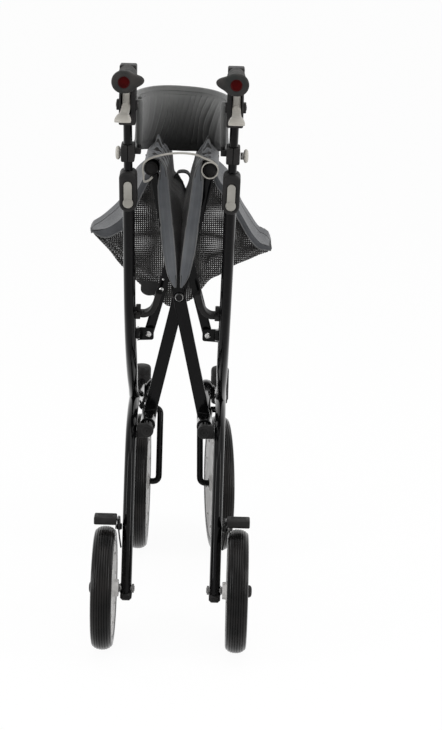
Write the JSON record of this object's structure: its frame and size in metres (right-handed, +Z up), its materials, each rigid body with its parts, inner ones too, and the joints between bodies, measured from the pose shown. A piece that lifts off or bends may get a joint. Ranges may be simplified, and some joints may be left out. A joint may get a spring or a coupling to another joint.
{
  "type": "rollator",
  "caption": "Folding wheeled walker shown folded, with a cross-brace linkage, swivelling front casters, height-adjustable brake handles, a fabric seat, backrest band and mesh bag.",
  "frame": {"origin": "on the floor under the middle of the folded object's outline", "axes": "+X to the right of the person who pushes it, +Y the way it travels, +Z up"},
  "size_m": [0.3098, 0.7048, 0.9586],
  "materials": {
    "gloss_black_paint": "gloss",
    "matt_black_plastic": "matt",
    "warm_grey_plastic": "satin",
    "rim_grey_plastic": "satin",
    "tyre_rubber": "matt",
    "grip_rubber": "soft matt",
    "seat_fabric": "woven",
    "band_fabric": "woven",
    "bag_mesh": "mesh",
    "black_webbing": "webbing"
  },
  "bodies": {
    "frame_left": {"main_tube_left": "gloss_black_paint", "rear_leg_left": "gloss_black_paint", "caster_head_left": "gloss_black_paint", "hinge_tube_left": "gloss_black_paint", "hinge_bracket_left": "matt_black_plastic", "link_bracket_left": "gloss_black_paint", "rail_saddle_left": "matt_black_plastic", "height_socket_left": "matt_black_plastic", "rear_axle_left": "matt_black_plastic"},
    "frame_right": {"main_tube_right": "gloss_black_paint", "rear_leg_right": "gloss_black_paint", "caster_head_right": "gloss_black_paint", "hinge_tube_right": "gloss_black_paint", "hinge_bracket_right": "matt_black_plastic", "link_bracket_right": "gloss_black_paint", "rail_saddle_right": "matt_black_plastic", "height_socket_right": "matt_black_plastic", "rear_axle_right": "matt_black_plastic"},
    "arm_to_right_rail": {"brace_arm_left": "gloss_black_paint", "cross_pivot": "gloss_black_paint", "seat_rail_right": "gloss_black_paint", "bag_right": "bag_mesh"},
    "arm_to_left_rail": {"brace_arm_right": "gloss_black_paint", "seat_rail_left": "gloss_black_paint", "bag_left": "bag_mesh"},
    "link_left": {"side_link_left": "gloss_black_paint"},
    "link_right": {"side_link_right": "gloss_black_paint"},
    "seat_left": {"seat_half_left": "seat_fabric", "pull_strap": "black_webbing"},
    "seat_right": {"seat_half_right": "seat_fabric"},
    "rear_wheel_left": {"rear_tyre_left": "tyre_rubber", "rear_rim_left": "rim_grey_plastic"},
    "rear_wheel_right": {"rear_tyre_right": "tyre_rubber", "rear_rim_right": "rim_grey_plastic"},
    "caster_left": {"caster_fork_left": "gloss_black_paint"},
    "caster_right": {"caster_fork_right": "gloss_black_paint"},
    "front_wheel_left": {"front_tyre_left": "tyre_rubber", "front_rim_left": "rim_grey_plastic"},
    "front_wheel_right": {"front_tyre_right": "tyre_rubber", "front_rim_right": "rim_grey_plastic"},
    "handle_left": {"handle_tube_left": "gloss_black_paint", "brake_housing_left": "matt_black_plastic", "grip_left": "grip_rubber"},
    "handle_right": {"handle_tube_right": "gloss_black_paint", "brake_housing_right": "matt_black_plastic", "grip_right": "grip_rubber"},
    "lever_left": {"brake_lever_left": "warm_grey_plastic"},
    "lever_right": {"brake_lever_right": "warm_grey_plastic"},
    "clamp_left": {"backrest_clamp_left": "matt_black_plastic"},
    "clamp_right": {"backrest_clamp_right": "matt_black_plastic"},
    "screw_left": {"thumb_screw_left": "warm_grey_plastic"},
    "screw_right": {"thumb_screw_right": "warm_grey_plastic"},
    "band_left": {"backrest_band_left": "band_fabric"},
    "band_right": {"backrest_band_right": "band_fabric"},
    "button_left": {"height_button_left": "warm_grey_plastic"},
    "button_right": {"height_button_right": "warm_grey_plastic"},
    "shoe_left": {"brake_arm_left": "matt_black_plastic"},
    "shoe_right": {"brake_arm_right": "matt_black_plastic"},
    "strap": {"fold_strap": "warm_grey_plastic"}
  },
  "joints": [
    {"name": "fold", "type": "hinge", "parent": "frame_left", "child": "arm_to_right_rail", "pos_m": [-0.048, -0.0559, 0.337], "axis": [0, 1, 0], "range_deg": [0, 46]},
    {"name": "cross", "type": "hinge", "parent": "arm_to_right_rail", "child": "arm_to_left_rail", "pos_m": [0, -0.0559, 0.5525], "axis": [0, 1, 0], "range_deg": [-92.1, 0]},
    {"name": "frame_right_hinge", "type": "hinge", "parent": "arm_to_left_rail", "child": "frame_right", "pos_m": [0.048, -0.0559, 0.337], "axis": [0, 1, 0], "range_deg": [0, 46.1]},
    {"name": "link_left_turn", "type": "hinge", "parent": "frame_left", "child": "link_left", "pos_m": [-0.0495, -0.0774, 0.493], "axis": [0, 1, 0], "range_deg": [0, 77]},
    {"name": "link_right_turn", "type": "hinge", "parent": "frame_right", "child": "link_right", "pos_m": [0.0495, -0.0774, 0.493], "axis": [0, 1, 0], "range_deg": [-77, 0]},
    {"name": "seat_left_turn", "type": "hinge", "parent": "arm_to_left_rail", "child": "seat_left", "pos_m": [-0.039, -0.0384, 0.79], "axis": [0, 1, 0], "range_deg": [-20.8, 0]},
    {"name": "seat_right_turn", "type": "hinge", "parent": "arm_to_right_rail", "child": "seat_right", "pos_m": [0.039, -0.0384, 0.79], "axis": [0, 1, 0], "range_deg": [0, 20.8]},
    {"name": "strap_swing", "type": "hinge", "parent": "arm_to_right_rail", "child": "strap", "pos_m": [0.0468, -0.1619, 0.785], "axis": [0, 1, 0], "range_deg": [-136.1, 0], "deforming": ["fold_strap"]},
    {"name": "rear_wheel_left_spin", "type": "hinge", "parent": "frame_left", "child": "rear_wheel_left", "pos_m": [-0.1094, -0.2509, 0.1015], "axis": [1, 0, 0], "continuous": true},
    {"name": "rear_wheel_right_spin", "type": "hinge", "parent": "frame_right", "child": "rear_wheel_right", "pos_m": [0.1094, -0.2509, 0.1015], "axis": [1, 0, 0], "continuous": true},
    {"name": "caster_left_swivel", "type": "hinge", "parent": "frame_left", "child": "caster_left", "pos_m": [-0.073, 0.2594, 0.27], "axis": [0, 0, 1], "range_deg": [-38, 20]},
    {"name": "caster_right_swivel", "type": "hinge", "parent": "frame_right", "child": "caster_right", "pos_m": [0.073, 0.2594, 0.27], "axis": [0, 0, 1], "range_deg": [-26, 32]},
    {"name": "front_wheel_left_spin", "type": "hinge", "parent": "caster_left", "child": "front_wheel_left", "pos_m": [-0.073, 0.2254, 0.127], "axis": [1, 0, 0], "continuous": true},
    {"name": "front_wheel_right_spin", "type": "hinge", "parent": "caster_right", "child": "front_wheel_right", "pos_m": [0.07655, 0.22559, 0.127], "axis": [0.9945, 0.1045, 0], "continuous": true},
    {"name": "handle_left_height", "type": "slide", "parent": "frame_left", "child": "handle_left", "axis": [-0.0199, -0.1093, 0.9938], "range_m": [0, 0.06]},
    {"name": "handle_right_height", "type": "slide", "parent": "frame_right", "child": "handle_right", "axis": [0.0199, -0.1093, 0.9938], "range_m": [0, 0.06]},
    {"name": "lever_left_pull", "type": "hinge", "parent": "handle_left", "child": "lever_left", "pos_m": [-0.086, -0.2149, 0.893], "axis": [1, 0, 0], "range_deg": [-18, 0], "stiffness_Nm_per_rad": 1.5, "springref_deg": 5.73},
    {"name": "lever_right_pull", "type": "hinge", "parent": "handle_right", "child": "lever_right", "pos_m": [0.086, -0.2149, 0.893], "axis": [1, 0, 0], "range_deg": [-18, 0], "stiffness_Nm_per_rad": 1.5, "springref_deg": 5.73},
    {"name": "clamp_left_height", "type": "slide", "parent": "handle_left", "child": "clamp_left", "axis": [-0.0199, -0.1093, 0.9938], "range_m": [0, 0.028]},
    {"name": "clamp_right_height", "type": "slide", "parent": "handle_right", "child": "clamp_right", "axis": [0.0199, -0.1093, 0.9938], "range_m": [0, 0.028]},
    {"name": "screw_left_turn", "type": "hinge", "parent": "clamp_left", "child": "screw_left", "pos_m": [-0.0828, -0.20005, 0.815], "axis": [1, 0, 0], "range_deg": [0, 360]},
    {"name": "screw_right_turn", "type": "hinge", "parent": "clamp_right", "child": "screw_right", "pos_m": [0.0828, -0.20005, 0.815], "axis": [1, 0, 0], "range_deg": [0, 360]},
    {"name": "band_left_turn", "type": "hinge", "parent": "clamp_left", "child": "band_left", "pos_m": [-0.0665, -0.1809, 0.86], "axis": [0, 0, 1], "range_deg": [-48.8, 0]},
    {"name": "band_right_turn", "type": "hinge", "parent": "band_left", "child": "band_right", "pos_m": [0, 0.0361, 0.86], "axis": [0, 0, 1], "range_deg": [0, 97.5]},
    {"name": "button_left_press", "type": "slide", "parent": "frame_left", "child": "button_left", "axis": [-0.0022, 0.994, 0.1093], "range_m": [0, 0.003], "stiffness_N_per_m": 600, "springref_m": -0.002},
    {"name": "button_right_press", "type": "slide", "parent": "frame_right", "child": "button_right", "axis": [0.0022, 0.994, 0.1093], "range_m": [0, 0.003], "stiffness_N_per_m": 600, "springref_m": -0.002},
    {"name": "shoe_left_press", "type": "hinge", "parent": "frame_left", "child": "shoe_left", "pos_m": [-0.0875, -0.2149, 0.196], "axis": [1, 0, 0], "range_deg": [0, 10.5]},
    {"name": "shoe_right_press", "type": "hinge", "parent": "frame_right", "child": "shoe_right", "pos_m": [0.0875, -0.2149, 0.196], "axis": [1, 0, 0], "range_deg": [0, 10.5]}
  ],
  "couplings": [
    {"joint": "cross", "follows": "fold", "ratio": -2},
    {"joint": "frame_right_hinge", "follows": "fold", "ratio": 1},
    {"joint": "link_left_turn", "follows": "fold", "ratio": 1.6718},
    {"joint": "link_right_turn", "follows": "fold", "ratio": -1.6718},
    {"joint": "seat_left_turn", "follows": "fold", "ratio": -0.45},
    {"joint": "seat_right_turn", "follows": "fold", "ratio": 0.45},
    {"joint": "strap_swing", "follows": "fold", "ratio": -2.9565},
    {"joint": "band_left_turn", "follows": "fold", "ratio": -1.058},
    {"joint": "band_right_turn", "follows": "fold", "ratio": 2.116},
    {"joint": "handle_right_height", "follows": "handle_left_height", "ratio": 1},
    {"joint": "clamp_right_height", "follows": "clamp_left_height", "ratio": 1},
    {"joint": "shoe_left_press", "follows": "lever_left_pull", "ratio": -0.58333},
    {"joint": "shoe_right_press", "follows": "lever_right_pull", "ratio": -0.58333}
  ]
}
